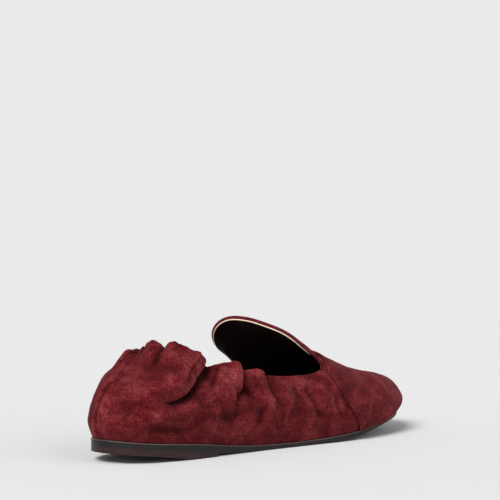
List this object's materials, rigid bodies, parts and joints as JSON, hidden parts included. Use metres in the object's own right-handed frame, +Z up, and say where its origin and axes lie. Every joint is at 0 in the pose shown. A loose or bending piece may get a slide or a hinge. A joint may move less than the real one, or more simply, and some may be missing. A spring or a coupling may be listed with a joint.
{
  "type": "slip-on loafer",
  "caption": "Soft suede slip-on shoe for the right foot, with a high round tongue, a vamp lapped over tongue and quarters, a gathered elastic topline and a low heel.",
  "frame": {"origin": "bottom centre of the shoe's bounding box, on the ground", "axes": "+X from the heel to the toe, -Y the outer (lateral) side, +Y the inner (medial) side, +Z up"},
  "size_m": [0.2614, 0.0788, 0.0739],
  "materials": {
    "suede": "burgundy suede, brushed nap",
    "lining_leather": "dark brown smooth lining leather, matte",
    "sole_edge": "charcoal resin rubber, satin",
    "heel_stock": "dark brown stacked heel rubber, satin",
    "sock": "dark brown smooth leather, matte",
    "foam": "latex foam, matte",
    "board": "cellulose fibreboard, matte",
    "filler": "cork and felt filler, matte",
    "stiffener": "thermoplastic sheet stiffener, matte",
    "backer": "cotton interlining, matte",
    "elastic": "woven elastic, matte",
    "tape": "nylon reinforcing tape, matte",
    "steel": "plain steel nails"
  },
  "bodies": {
    "root": {"outsole": "sole_edge", "heel_block": "heel_stock", "heel_top_lift": "heel_stock", "heel_nails": "steel", "lasting_margin": "suede", "bottom_filler": "filler", "insole_board": "board", "footbed_foam": "foam", "heel_pad": "foam", "sock_lining": "sock", "vamp": "suede", "tongue": "suede", "lateral_quarter": "suede", "medial_quarter": "suede", "toe_puff": "stiffener", "vamp_backer": "backer", "vamp_lining": "lining_leather", "tongue_lining": "lining_leather", "lateral_quarter_lining": "lining_leather", "medial_quarter_lining": "lining_leather", "back_seam_tape": "tape", "heel_counter": "stiffener", "topline_elastic": "elastic", "heel_grip": "lining_leather"}
  },
  "joints": []
}
